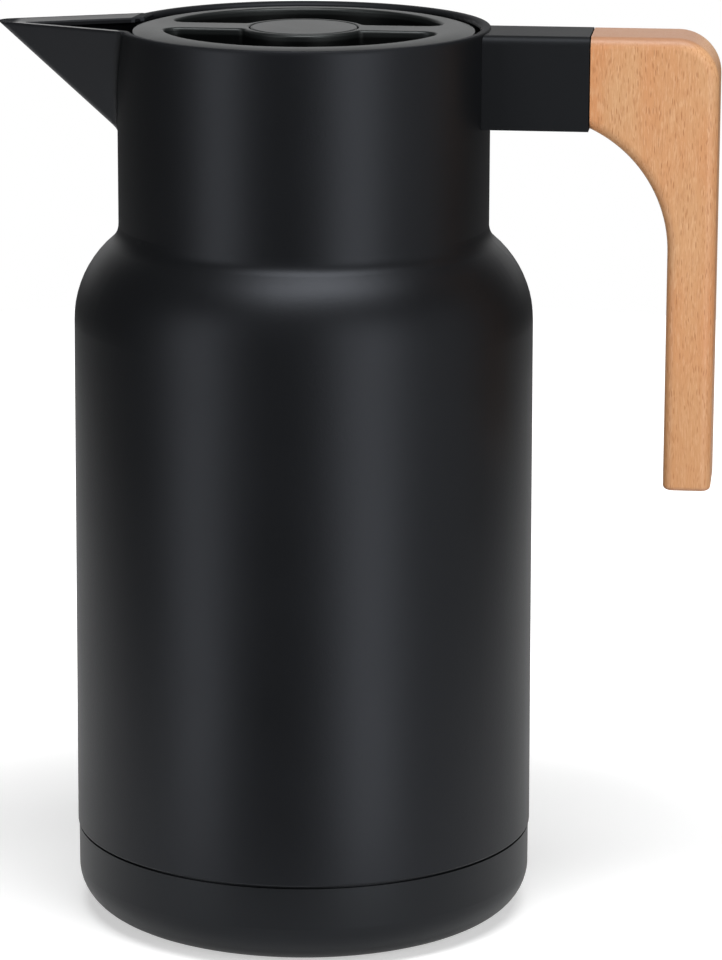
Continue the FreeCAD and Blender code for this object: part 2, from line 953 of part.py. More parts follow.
# Stopper body: fixed in the lid's skirt, open between its pillars, with lugs under the ramps.
let(
    stopper_top="lid_bottom - stopper_joint",
    stopper_bottom="flask_mouth - stopper_entry",
    spigot_outer="skirt_bore - stopper_joint",
    stopper_bore="spigot_outer - stopper_wall",
    groove="flask_bore - gasket_gap - gasket_depth",
    groove_top="stopper_bottom + gasket_height",
    collar_bore="groove - collar_width",
    seat_screw_ring="groove - collar_width / 2",
    window_top="stopper_top - window_drop",
)
seat_screw_spots = []
for index in range(round(size("seat_screw_count"))):
    turn = f"(90 + {index} * 360 / seat_screw_count)"
    seat_screw_spots.append((f"seat_screw_ring * cos({turn})", f"seat_screw_ring * sin({turn})"))
tube = turned(
    "StopperTube",
    [
        ("collar_bore", "stopper_bottom"),
        ("groove", "stopper_bottom"),
        ("groove", "groove_top"),
        ("stopper_radius", "groove_top"),
        ("stopper_radius", "stopper_top"),
        ("spigot_outer", "stopper_top"),
        ("spigot_outer", "stopper_top + stopper_spigot"),
        ("stopper_bore", "stopper_top + stopper_spigot"),
        ("stopper_bore", "groove_top + collar_lap"),
        ("collar_bore", "groove_top + collar_lap"),
    ],
)
window = rectangle("-window_width / 2", "window_width / 2", "window_top - window_height", "window_top")
first_window = sunk(tube, draw(tube, "YZ_Plane", [window]), "stopper_radius", Reversed=True)
windows = tube.newObject("PartDesign::PolarPattern", "Windows")
windows.Originals = [first_window]
windows.Axis = (origin(tube, "Z_Axis"), [""])
windows.Angle = 360
tie(windows, Occurrences="window_count")
tube.Tip = windows
doc.recompute()
sunk(
    tube,
    draw(
        tube,
        "XY_Plane",
        circles=[(x, y, "seat_screw_radius + screw_gap") for x, y in seat_screw_spots],
        height="stopper_bottom",
    ),
    "gasket_height",
    Reversed=True,
)
lugs = spiral(
    "Lug",
    "stopper_radius - ramp_root",
    "lip_bore - lug_clear",
    "(flask_mouth + ramp_height + ramp_lead * lug_lag / 360 - lug_gap - lug_thick)",
    "lug_thick",
    "lug_lag",
    "lug_span",
)
keep("stopper_body", joined("StopperBody", [tube, *lugs]))

# Gasket: a soft ring between the stopper body and the seat plate.
gasket = turned(
    "Gasket",
    [
        ("groove", "stopper_bottom"),
        ("groove + gasket_depth", "stopper_bottom"),
        ("groove + gasket_depth", "groove_top"),
        ("groove", "groove_top"),
    ],
)
keep("stopper_gasket", gasket)

# Seat plate: a disc with three openings round a boss that guides the stem.
let(
    seat_bottom="stopper_bottom - seat_thick",
    seat_radius="groove + gasket_depth - seat_lip",
    seat_boss="bush_bore + seat_boss_wall",
    spoke_angle_out="asin(seat_spoke / 2 / seat_opening)",
    spoke_angle_in="asin(seat_spoke / 2 / seat_boss)",
)
seat = turned(
    "Seat",
    [
        ("bush_bore", "seat_bottom"),
        ("seat_radius", "seat_bottom"),
        ("seat_radius", "stopper_bottom"),
        ("bush_bore", "stopper_bottom"),
    ],
)


def opening(index):
    """One third of the valve's opening, between two spokes."""
    first = f"{index} * 120 deg"
    last = f"{index + 1} * 120 deg"
    corners = []
    for radius, turn, spread in (
        ("seat_boss", first, "spoke_angle_in"),
        ("seat_opening", first, "spoke_angle_out"),
        ("seat_opening", last, "-spoke_angle_out"),
        ("seat_boss", last, "-spoke_angle_in"),
    ):
        angle = f"({turn} + {spread})"
        corners.append((f"{radius} * cos({angle})", f"{radius} * sin({angle})"))
    return [
        corners[0],
        (*corners[1], "seat_opening", "left"),
        corners[2],
        (*corners[3], "seat_boss", "right"),
    ]


thirds = [opening(index) for index in range(3)]
sunk(seat, draw(seat, "XY_Plane", thirds, height="stopper_bottom"), "seat_thick")
sunk(
    seat,
    draw(
        seat,
        "XY_Plane",
        circles=[(x, y, "seat_screw_radius + screw_gap") for x, y in seat_screw_spots],
        height="stopper_bottom",
    ),
    "seat_thick",
)
sunk(
    seat,
    draw(
        seat,
        "XY_Plane",
        circles=[(x, y, "seat_screw_head + screw_gap") for x, y in seat_screw_spots],
        height="seat_bottom",
    ),
    "seat_screw_head_height",
    Reversed=True,
)
keep("seat_plate", seat)
seat_screws = []
for x, y in seat_screw_spots:
    item = screw(
        "SeatScrew", "seat_screw_head", "seat_screw_head_height", "seat_screw_radius", "seat_screw_length"
    )
    tie(item, Placement__Base__x=x, Placement__Base__y=y, Placement__Base__z="seat_bottom")
    seat_screws.append(item)
group("seat_screws", seat_screws)

# Bush: a flanged sleeve in the hub floor, free to turn there.
let(bush_flange="bush_radius + bush_lip")
bush = turned(
    "Bush",
    [
        ("bush_bore", "hub_floor_bottom - bush_tail"),
        ("bush_radius", "hub_floor_bottom - bush_tail"),
        ("bush_radius", "hub_floor_top"),
        ("bush_flange", "hub_floor_top"),
        ("bush_flange", "hub_floor_top + bush_flange_thick"),
        ("bush_bore", "hub_floor_top + bush_flange_thick"),
    ],
)
keep("stem_bush", bush)

# Button: a round cap with a boss that holds the stem.
let(
    button_under="lid_top - button_top",
    button_bore="button_radius - button_wall",
    button_skirt="hub_depth - button_top - button_stroke - button_clear",
    button_boss="bush_bore + button_boss_wall",
    button_boss_depth="button_skirt - bush_flange_thick",
    stem_top="button_under - button_boss_depth + stem_grip",
)
button = turned(
    "Button",
    [
        ("0", "lid_top"),
        ("0", "stem_top"),
        ("bush_bore", "stem_top"),
        ("bush_bore", "button_under - button_boss_depth"),
        ("button_boss", "button_under - button_boss_depth"),
        ("button_boss", "button_under"),
        ("button_bore", "button_under"),
        ("button_bore", "button_under - button_skirt"),
        ("button_radius", "button_under - button_skirt"),
        ("button_radius", "lid_top - button_round", "button_round", "left"),
        ("button_radius - button_round", "lid_top"),
    ],
)
keep("push_button", button)

# Stem, valve plate, seal and nut: they hang under the button and shut the openings from below.
let(
    valve_radius="seat_opening + seal_clear + seal_width",
    seal_bottom="seat_bottom - seal_thick",
    valve_bottom="seal_bottom - valve_thick",
    nut_bottom="valve_bottom - valve_nut_thick",
    stem_bottom="nut_bottom - stem_tail",
)
stem = tie(
    doc.addObject("Part::Cylinder", "Stem"),
    Radius="stem_radius",
    Height="stem_top - stem_bottom",
    Placement__Base__z="stem_bottom",
)
keep("valve_stem", stem)
valve = turned(
    "Valve",
    [
        ("bush_bore", "valve_bottom"),
        ("valve_radius", "valve_bottom"),
        ("valve_radius", "seal_bottom"),
        ("bush_bore", "seal_bottom"),
    ],
)
keep("valve_plate", valve)
seal = turned(
    "Seal",
    [
        ("valve_radius - seal_width", "seal_bottom"),
        ("valve_radius", "seal_bottom"),
        ("valve_radius", "seat_bottom"),
        ("valve_radius - seal_width", "seat_bottom"),
    ],
)
keep("valve_seal", seal)
nut_blank = doc.addObject("Part::Prism", "ValveNutBlank")
nut_blank.Polygon = 6
tie(
    nut_blank,
    Circumradius="(stem_radius + valve_nut_wall) / cos(30)",
    Height="valve_nut_thick",
    Placement__Base__z="nut_bottom",
)
nut_hole = tie(
    doc.addObject("Part::Cylinder", "ValveNutHole"),
    Radius="bush_bore",
    Height="valve_nut_thick",
    Placement__Base__z="nut_bottom",
)
keep("valve_nut", cut("ValveNut", nut_blank, nut_hole))


def half_way(start, stop, heading):
    """The middle of the arc that leaves start along heading and ends at stop."""
    chord = stop - start
    along = Vector(chord).normalize()
    aside = heading - along * heading.dot(along)
    bend = math.atan2(aside.Length, heading.dot(along))
    return (start + stop) / 2 + aside.normalize() * (chord.Length / 2 * math.tan(bend / 2))


# Spring: one wire wound between the hub floor and the button, each quarter turn a pair of arcs.
wire = size("spring_wire")
coil = size("spring_radius")
turns = size("spring_turns")
spring_foot = size("hub_floor_top + spring_seat + spring_wire")
spring_head = size("button_under - spring_seat - spring_wire")
climb = (spring_head - spring_foot) / turns
quarters = round(turns * 4)


def on_coil(turn):
    angle = 2 * math.pi * turn
    return Vector(coil * math.cos(angle), coil * math.sin(angle), spring_foot + climb * turn)


def along_coil(turn):
    angle = 2 * math.pi * turn
    return Vector(-coil * math.sin(angle), coil * math.cos(angle), climb / (2 * math.pi)).normalize()


arcs = []
for index in range(quarters):
    start, stop = (turns * step / quarters for step in (index, index + 1))
    here, there = on_coil(start), on_coil(stop)
    leave, arrive = along_coil(start), along_coil(stop)
    span = there - here
    spread = 2 * (1 - leave.dot(arrive))
    lean = span.dot(leave + arrive)
    reach = (math.sqrt(lean**2 + spread * span.dot(span)) - lean) / spread
    joint = (here + there + (leave - arrive) * reach) / 2
    arcs.append(Part.Arc(here, half_way(here, joint, leave), joint).toShape())
    arcs.append(Part.Arc(joint, half_way(there, joint, arrive * -1), there).toShape())
section = Part.Wire(Part.Circle(on_coil(0), along_coil(0), wire).toShape())
spring = doc.addObject("Part::Feature", "Spring")
spring.Shape = Part.Wire(arcs).makePipeShell([section], True, False)
keep("button_spring", spring)
print("spring: least gap between turns", round(climb - 2 * wire, 3), "mm")

# Every piece is sound before any file is written.
doc.recompute()
for item in doc.Objects:
    if {"Invalid", "Error"} & set(item.State):
        raise RuntimeError(f"{item.Label} is {item.State}")
os.makedirs("parts", exist_ok=True)
for label, item in pieces.items():
    if item.Shape.isNull() or not item.Shape.isValid():
        raise RuntimeError(f"{label} has no sound shape")
for label, item in pieces.items():
    item.Shape.exportStep(f"parts/{label}.step")
    print(label, len(item.Shape.Solids), round(item.Shape.Volume, 1))
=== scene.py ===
from math import asin, cos, pi, radians, sin, tan

import bmesh
import bpy
import numpy as np
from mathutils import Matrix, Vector


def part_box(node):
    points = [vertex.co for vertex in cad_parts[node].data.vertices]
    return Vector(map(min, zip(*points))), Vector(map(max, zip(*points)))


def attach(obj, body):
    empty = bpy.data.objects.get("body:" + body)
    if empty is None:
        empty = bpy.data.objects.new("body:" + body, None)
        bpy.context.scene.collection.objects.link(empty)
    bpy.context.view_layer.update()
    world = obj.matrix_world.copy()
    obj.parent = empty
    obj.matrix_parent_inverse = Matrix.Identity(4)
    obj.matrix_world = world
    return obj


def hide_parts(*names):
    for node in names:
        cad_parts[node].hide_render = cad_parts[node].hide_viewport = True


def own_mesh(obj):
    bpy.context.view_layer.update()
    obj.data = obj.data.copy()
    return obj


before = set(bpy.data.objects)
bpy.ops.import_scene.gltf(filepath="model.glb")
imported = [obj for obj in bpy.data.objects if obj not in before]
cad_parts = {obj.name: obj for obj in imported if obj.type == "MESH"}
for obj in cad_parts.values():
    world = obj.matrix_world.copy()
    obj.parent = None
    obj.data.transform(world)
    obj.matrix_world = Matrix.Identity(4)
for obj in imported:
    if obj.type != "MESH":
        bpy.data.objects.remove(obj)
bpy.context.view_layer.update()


# The vacuum flask: a drawn bottle that hangs by its mouth, the dish that closes the jacket below
# it, and the getter and the plug of the evacuated space. Bare stainless steel, polished on a
# lathe, so the fine lines run round the axis.
class Shade:
    """A shader socket that is summed like a number; each sum adds one Math node to its tree."""

    def __init__(self, socket):
        self.socket = socket

    @property
    def tree(self):
        """The node tree that the socket belongs to."""
        return self.socket.id_data

    @classmethod
    def node(cls, tree, kind, settings=None, sockets=None, out=0):
        """Adds one node: first its settings, then the values or links of its sockets."""
        made = tree.nodes.new(kind)
        for word, value in (settings or {}).items():
            setattr(made, word, value)
        for place, value in (sockets or {}).items():
            if isinstance(value, Shade):
                tree.links.new(value.socket, made.inputs[place])
            else:
                made.inputs[place].default_value = value
        return cls(made.outputs[out]) if made.outputs else None

    def also(self, out):
        """Another output of the same node."""
        return Shade(self.socket.node.outputs[out])

    def maths(self, operation, *terms):
        """One Math node on these terms."""
        settings = {"operation": operation}
        return Shade.node(self.tree, "ShaderNodeMath", settings, dict(enumerate(terms)))

    def __add__(self, other):
        return self.maths("ADD", self, other)

    def __radd__(self, other):
        return self.maths("ADD", other, self)

    def __sub__(self, other):
        return self.maths("SUBTRACT", self, other)

    def __rsub__(self, other):
        return self.maths("SUBTRACT", other, self)

    def __mul__(self, other):
        return self.maths("MULTIPLY", self, other)

    def __rmul__(self, other):
        return self.maths("MULTIPLY", other, self)

    def __abs__(self):
        return self.maths("ABSOLUTE", self)


def new_finish(name):
    """An empty material, its node tree, and the place on the piece in Object coordinates."""
    material = bpy.data.materials.new(name)
    material.use_nodes = True
    tree = material.node_tree
    tree.nodes.clear()
    return material, tree, Shade.node(tree, "ShaderNodeTexCoord", out="Object")


def height_of(at):
    """The height of the place."""
    return Shade.node(at.tree, "ShaderNodeSeparateXYZ", None, {0: at}, "Z")


def length_of(at):
    """How far the place lies from the origin."""
    settings = {"operation": "LENGTH"}
    return Shade.node(at.tree, "ShaderNodeVectorMath", settings, {0: at}, "Value")


def along(at, direction):
    """How far the place lies along the direction, times the direction's own length."""
    settings = {"operation": "DOT_PRODUCT"}
    return Shade.node(at.tree, "ShaderNodeVectorMath", settings, {0: at, 1: direction}, "Value")


def stretched(at, x, y, z):
    """The place with each axis scaled by its own factor, which draws a pattern out along one."""
    settings = {"operation": "MULTIPLY"}
    return Shade.node(at.tree, "ShaderNodeVectorMath", settings, {0: at, 1: (x, y, z)})


def noise(at, scale, detail=2.0, roughness=0.5):
    """Cloudy noise from 0 to 1, with about this many blots to the metre."""
    sockets = {"Vector": at, "Scale": scale, "Detail": detail, "Roughness": roughness}
    return Shade.node(at.tree, "ShaderNodeTexNoise", None, sockets)


def rise(value, low, high):
    """0 below low, 1 above high and a smooth step between, the other way round if low > high."""
    settings = {"interpolation_type": "SMOOTHSTEP"}
    return Shade.node(value.tree, "ShaderNodeMapRange", settings, {0: value, 1: low, 2: high})


def tint(share, plain, other):
    """A colour that goes from plain to other with the share."""
    sockets = {0: share, 6: plain, 7: other}
    return Shade.node(share.tree, "ShaderNodeMix", {"data_type": "RGBA"}, sockets, 2)


def bumped(height, strength, depth):
    """A normal tilted by the height, which is depth metres where it is 1."""
    sockets = {"Height": height, "Strength": strength, "Distance": depth}
    return Shade.node(height.tree, "ShaderNodeBump", None, sockets)


SHADE_BLACK = (0.001, 0.001, 0.001, 1)


def lay(tree, painted_shade=None, **sockets):
    """The glossy surface shader with these sockets, mixed with flat black as painted shade by the
    share given, as output.
    """
    named = {word.replace("_", " "): value for word, value in sockets.items()}
    shader = Shade.node(tree, "ShaderNodeBsdfPrincipled", None, named)
    # A share of flat black diffuse put in as painted shade.
    if painted_shade is not None:
        black = Shade.node(tree, "ShaderNodeBsdfDiffuse", None, {"Color": SHADE_BLACK})
        shader = Shade.node(tree, "ShaderNodeMixShader", None, {0: painted_shade, 1: shader, 2: black})
    Shade.node(tree, "ShaderNodeOutputMaterial", None, {"Surface": shader})


def wear(material, *names):
    """Gives these solids the material in place of their packed one."""
    for name in names:
        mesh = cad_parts[name].data
        mesh.materials.clear()
        mesh.materials.append(material)


def turned_steel():
    """Lines round the axis: noise of the radius and the height, drawn out along the turn."""
    material, tree, at = new_finish("turned_steel")
    radius = length_of(stretched(at, 1, 1, 0))
    across = {0: radius * 3.0, 1: height_of(at) * 3.0, 2: 0.0}
    lines = noise(Shade.node(tree, "ShaderNodeCombineXYZ", None, across), 1500, 3.0, 0.6)
    cloud = noise(at, 25)
    lay(
        tree,
        Base_Color=tint(lines, (0.46, 0.455, 0.44, 1), (0.62, 0.61, 0.59, 1)),
        Metallic=1.0,
        Roughness=0.2 + lines * 0.12 + cloud * 0.08,
        Normal=bumped(lines, 0.25, 0.00004),
    )
    return material


wear(turned_steel(), "inner_flask", "jacket_bottom", "neck_ring", "valve_stem", "valve_plate")


def pressed_steel():
    """Zinc-grey small parts: a tumbled skin of fine dents and a slow change in gloss."""
    material, tree, at = new_finish("pressed_steel")
    dents = noise(at, 3200, 3.0, 0.6)
    cloud = noise(at, 260)
    lay(
        tree,
        Base_Color=tint(cloud, (0.40, 0.40, 0.39, 1), (0.56, 0.555, 0.54, 1)),
        Metallic=1.0,
        Roughness=0.28 + dents * 0.14 + cloud * 0.08,
        Normal=bumped(dents, 0.3, 0.00004),
    )
    return material


small_steel = pressed_steel()
wear(small_steel, "getter", "seal_tip", "arm_studs", "arm_nuts", "valve_nut")


# The jacket: one deep-drawn steel shell from the seam over the shoulder to the rim, powder coated
# matte black. The baked powder leaves a fine, even orange-peel skin.
RIM_HEIGHT = 0.2337
RIM_BAND = 0.0012
RIM_FLAT = 0.0002
FINE_BLACK = (0.0020, 0.0022, 0.0025, 1)
COARSE_BLACK = (0.0040, 0.0043, 0.0049, 1)
# Painted shade: the darker black of the spout's hollow.
HOLLOW_SHADE_BLACK = (0.0012, 0.0012, 0.0012, 1)


def powder_coat(name, hollow=None):
    """Melted grains half a millimetre across over softer swells, dull and nearly black. The rim is
    duller. Inside the hollow the coat is rougher and its colour is painted darker as shade, and the
    brim is polished."""
    material, tree, at = new_finish(name)
    on_rim = rise(height_of(at), RIM_HEIGHT - RIM_BAND, RIM_HEIGHT - RIM_FLAT)
    grains = noise(at, 1900, 2.0, 0.6)
    swells = noise(at, 620, 1.0)
    cloud = noise(at, 34, 2.0)
    peel = grains * 0.65 + swells * 0.35
    colour = tint(grains * 0.5 + cloud * 0.5, FINE_BLACK, COARSE_BLACK)
    dullness = 0.37 + grains * 0.06 + cloud * 0.05
    polish = {}
    if hollow:
        # Inside the spout the colour is painted darker as shade, and the coat is rougher.
        dull_shaded_hollow, brim = hollow(at)
        colour = tint(dull_shaded_hollow, colour, HOLLOW_SHADE_BLACK)
        dullness = dullness + dull_shaded_hollow * 0.5 + on_rim * (1 - brim) * 0.4
        polish = {"Coat_Weight": brim * 0.45, "Coat_Roughness": 0.3}
    else:
        dullness = dullness + on_rim * 0.22
    lay(
        tree,
        Base_Color=colour,
        Roughness=dullness,
        Specular_IOR_Level=0.26,
        Specular_Tint=(0.84, 0.89, 1.0, 1),
        Normal=bumped(peel, 0.21, 0.00012),
        **polish,
    )
    return material


coat = powder_coat("powder_coat")
wear(coat, "outer_shell")


# The spout: a folded steel beak with a sharp keel and a brim turned in along its edge, welded to
# the neck before coating. Two short ends carry the brim on to the rim's inner edge, and the weld
# is dressed to a small hollow round that follows both sides and passes below the keel's foot.
def stand(name, data):
    """A new object in the scene, at the origin."""
    thing = bpy.data.objects.new(name, data)
    bpy.context.scene.collection.objects.link(thing)
    return thing


def put(name, mesh, material, body, slot, *nodes):
    """The finished piece: its mesh and material, the body it rides on, its slot and the nodes that
    it stands for. The slot is not used."""
    piece = stand(name, mesh)
    mesh.materials.append(material)
    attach(piece, body)
    if nodes:
        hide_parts(*nodes)
    return piece


MERGE_DISTANCE = 1e-7
INSIDE_OUT = -1e-12


def skin(name, grid, around=False, ends=False, sharp=radians(40)):
    """A grid of points, rows by columns, as a smooth surface. around joins the last column to the
    first, ends closes the first and last rows. Points that fall together are merged, and a closed
    surface faces outward."""
    rows, columns = grid.shape[:2]
    spot = np.arange(rows * columns).reshape(rows, columns)
    if around:
        spot = np.concatenate([spot, spot[:, :1]], axis=1)
    corners = (spot[:-1, :-1], spot[:-1, 1:], spot[1:, 1:], spot[1:, :-1])
    faces = np.stack(corners, axis=-1).reshape(-1, 4).tolist()
    if ends:
        faces += [spot[0, :columns][::-1].tolist(), spot[-1, :columns].tolist()]
    mesh = bpy.data.meshes.new(name)
    mesh.from_pydata(grid.reshape(-1, 3), [], faces)
    shape = bmesh.new()
    shape.from_mesh(mesh)
    bmesh.ops.remove_doubles(shape, verts=shape.verts, dist=MERGE_DISTANCE)
    bmesh.ops.recalc_face_normals(shape, faces=shape.faces)
    if shape.calc_volume(signed=True) < INSIDE_OUT:
        bmesh.ops.reverse_faces(shape, faces=shape.faces)
    shape.to_mesh(mesh)
    shape.free()
    mesh.polygons.foreach_set("use_smooth", np.ones(len(mesh.polygons), bool))
    mesh.set_sharp_from_angle(angle=sharp)
    mesh.update()
    return mesh


NECK_RADIUS = 0.0478
BEAK_REACH = 0.0852
BEAK_TIP = 0.0041
BEAK_WALL = 0.0016
BEAK_HALF_ANGLE = radians(23.8)
KEEL_SLOPE = radians(41.8)
BRIM_DEPTH = 0.00055
BRIM_WIDTH = 0.0046
BRIM_DROP = 0.00045
BRIM_START = -0.0745
BRIM_START_SPAN = 0.001
BRIM_EDGE = (0.0014, 0.0020)
HOLLOW_EDGE = (0.0004, 0.0001)


def inside_beak(at):
    """Two masks: below the brim, where the beak's plan, moved down the keel, has x - x(y) above the
    wall's share, and the brim's own top behind its edge."""
    x = Shade.node(at.tree, "ShaderNodeSeparateXYZ", None, {0: at})
    y, z = x.also("Y"), x.also("Z")
    sideways = abs(y) * (1 / tan(BEAK_HALF_ANGLE))
    downwards = (RIM_HEIGHT - z) * (1 / tan(KEEL_SLOPE))
    behind = x + BEAK_REACH - sideways - downwards
    wall = BEAK_WALL / sin(BEAK_HALF_ANGLE)
    below = rise(z, RIM_HEIGHT - BRIM_DEPTH, RIM_HEIGHT - 2 * BRIM_DEPTH)
    # This mask is where the coat inside the spout is painted darker as shade.
    hollow = rise(behind, wall - HOLLOW_EDGE[0], wall - HOLLOW_EDGE[1]) * below
    started = rise(x, BRIM_START - BRIM_START_SPAN, BRIM_START + BRIM_START_SPAN)
    on_brim = rise(behind, *BRIM_EDGE) * started * (1 - below)
    return hollow, on_brim


wear(powder_coat("spout_coat", inside_beak), "spout")


BRIM_END_INSET = 0.0014
BRIM_END_ROWS = 9
BRIM_END_INWARD = (0.0004, 0.0025, 0.0027, 0.0026, 0.0004)
BRIM_END_DEPTH = (0.0, 0.00005, 0.0003, 0.0011, 0.0011)
WELD_LIFT = 0.00002


def brim_end(side):
    """Rows across the brim, inset i from the beak's side, and a closed section along the radius R:
    the side's line meets a circle at y = R sin(asin((reach sin(half angle) - i) / R) - half angle).
    The top falls evenly from the brim's edge."""
    inset = np.linspace(BRIM_END_INSET, BRIM_WIDTH, BRIM_END_ROWS)[:, None]
    radius = NECK_RADIUS - np.array([BRIM_END_INWARD])
    depth = np.array([BRIM_END_DEPTH])
    turn = np.arcsin((BEAK_REACH * sin(BEAK_HALF_ANGLE) - inset) / radius) - BEAK_HALF_ANGLE
    y = radius * np.sin(turn)
    top = RIM_HEIGHT - WELD_LIFT - BRIM_DROP * inset / BRIM_WIDTH
    return np.stack([-np.sqrt(radius**2 - y**2), side * y, top - depth], axis=-1)


for name, side in (("brim_end_front", -1), ("brim_end_back", 1)):
    put(name, skin(name, brim_end(side), around=True, ends=True), coat, "jug", "jacket_coat")


def unit(vectors):
    """Each vector divided by its length."""
    return vectors / np.linalg.norm(vectors, axis=-1, keepdims=True)


WELD_LEG = 0.0017
WELD_ROOT = 0.0005
WELD_ROWS = 241
ROUND_STEPS = 11


def weld_round():
    """Path: where the beak meets the neck. The beak's plan is a V with a round tip, x(y) = -reach +
    |y| / tan(half angle), or the tip's circle in the middle, and slides towards the neck on its way
    down the keel, so it meets the neck after s = -sqrt(radius^2 - y^2) - x(y), at z = rim - s
    tan(slope). Section: a hollow round, corner + leg * ((1 - t)^2 along the neck + t^2 along the
    beak), closed inside the metal."""
    turn = asin(BEAK_REACH * sin(BEAK_HALF_ANGLE) / NECK_RADIUS) - BEAK_HALF_ANGLE
    end = NECK_RADIUS * sin(turn)
    y = np.linspace(-end, end, WELD_ROWS)
    none = np.zeros_like(y)
    straight = np.abs(y) / tan(BEAK_HALF_ANGLE) - BEAK_REACH
    middle = BEAK_TIP / sin(BEAK_HALF_ANGLE) - BEAK_REACH
    bend = middle - np.sqrt(np.maximum(BEAK_TIP**2 - y**2, 0))
    plan = np.where(np.abs(y) < BEAK_TIP * cos(BEAK_HALF_ANGLE), bend, straight)
    wall = -np.sqrt(NECK_RADIUS**2 - y**2)
    corner = np.stack([wall, y, RIM_HEIGHT - (wall - plan) * tan(KEEL_SLOPE)], -1)
    run = unit(np.gradient(corner, axis=0))
    outward = np.stack([wall, y, none], -1) / NECK_RADIUS
    keel = np.array([cos(KEEL_SLOPE), 0.0, -sin(KEEL_SLOPE)])
    flank = unit(np.cross(np.stack([np.gradient(plan, y), none + 1, none], -1), keel))
    on_neck = unit(np.cross(outward, run))
    on_beak = unit(np.cross(run, flank))
    t = np.linspace(0, 1, ROUND_STEPS)[None, :, None]
    bow = (1 - t) ** 2 * on_neck[:, None] + t**2 * on_beak[:, None]
    hollow = corner[:, None] + WELD_LEG * bow
    hollow = hollow + WELD_LIFT * (outward + flank)[:, None]
    root = corner - WELD_ROOT * unit(on_neck + on_beak) - WELD_ROOT * outward
    weld = np.concatenate([hollow, root[:, None]], axis=1)
    weld[..., 2] = np.minimum(weld[..., 2], RIM_HEIGHT - WELD_LIFT)
    return weld


weld_mesh = skin("spout_weld", weld_round(), around=True, ends=True)
put("spout_weld", weld_mesh, coat, "jug", "jacket_coat")


# The base: a moulded cup pressed over the jacket's lower end up to the thin seam, with a soft
# ribbed disc glued into its underside. Black plastic with an eroded-mould skin.
DEEP_CHARCOAL = (0.0028, 0.0030, 0.0034, 1)
PALE_CHARCOAL = (0.0056, 0.0059, 0.0066, 1)


def moulded_black(name, roughness, gloss):
    """A fine eroded skin with a faint flow of gloss, charcoal black."""
    material, tree, at = new_finish(name)
    pits = noise(at, 2600, 3.0, 0.65)
    flow = noise(stretched(at, 1, 1, 0.35), 45, 2.0)
    lay(
        tree,
        Base_Color=tint(pits * 0.5 + flow * 0.5, DEEP_CHARCOAL, PALE_CHARCOAL),
        Roughness=roughness + pits * 0.08 + flow * 0.06,
        Specular_IOR_Level=gloss,
        Specular_Tint=(0.85, 0.91, 1.0, 1),
        Normal=bumped(pits, 0.16, 0.00009),
    )
    return material


wear(moulded_black("base_plastic", 0.34, 0.24), "base_cup")


def soft_rubber(name, dark, pale, scale):
    """Matte elastomer: a dusty bloom over fine grain."""
    material, tree, at = new_finish(name)
    grain = noise(at, scale, 3.0, 0.6)
    bloom = noise(at, 90, 3.0)
    lay(
        tree,
        Base_Color=tint(bloom * 0.7 + grain * 0.3, dark, pale),
        Roughness=0.66 + bloom * 0.14,
        Specular_IOR_Level=0.3,
        Normal=bumped(grain, 0.25, 0.00008),
    )
    return material


FOOT_RIBS = 8
FOOT_RIB_DEPTH = 0.0005
FOOT_EDGE = 0.0004
FOOT_ROWS = 260
EDGE_ROWS = 7
TURN_STEPS = 192


def turned(radius, height, steps=TURN_STEPS):
    """A profile of radii and heights carried round the axis."""
    turn = np.arange(steps) * 2 * pi / steps
    radius, height = np.asarray(radius)[:, None], np.asarray(height)[:, None]
    points = [radius * np.cos(turn), radius * np.sin(turn), height + 0 * turn]
    return np.stack(points, axis=-1)


def ribbed_foot():
    """Flat on top, a rounded edge, and rings below: depth * (1 - |cos(ribs pi r / edge)|)^2."""
    low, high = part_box("foot_pad")
    edge = high.x
    flat = edge - FOOT_EDGE
    bend = np.linspace(0, pi / 2, EDGE_ROWS)
    below = np.linspace(flat, 0, FOOT_ROWS)
    rings = FOOT_RIB_DEPTH * (1 - np.abs(np.cos(FOOT_RIBS * pi * below / edge))) ** 2
    radius = np.concatenate([[0, flat], flat + FOOT_EDGE * np.cos(bend), below])
    side = low.z + FOOT_EDGE - FOOT_EDGE * np.sin(bend)
    height = np.concatenate([[high.z, high.z], side, low.z + rings])
    return turned(radius, height)


foot_rubber = soft_rubber("foot_rubber", (0.010, 0.010, 0.011, 1), (0.020, 0.020, 0.021, 1), 2200)
foot_mesh = skin("foot_disc", ribbed_foot(), around=True)
put("foot_disc", foot_mesh, foot_rubber, "jug", "foot_rubber", "foot_pad")


# The handle arm: a square moulded box on two studs of the neck, clamped by nuts from inside.
# Two cross-recessed screws from below hold the grip's tenon in its socket.
wear(moulded_black("arm_plastic", 0.47, 0.20), "handle_arm")


SCREW_TURNS = 72
FACE_ROWS = 40
FACE_SHARE = 0.94
DOME_SHARE = 0.3
BLADE_SHARE = 0.13
BLADE_TAPER = 0.5
BLADE_SOFT = 0.05
RECESS_REACH = 0.6
RECESS_SOFT = 0.12
RECESS_DEPTH = 0.55
SIDE_RADII = (0.99, 1.0, 1.0, 1.0)
SIDE_HEIGHTS = (0.34, 0.48, 0.8, 1.0)
SHANK_ROWS = 150
THREAD_SHARE = 0.28
POINT_SHARE = 0.12
POINT_CURVE = 0.6


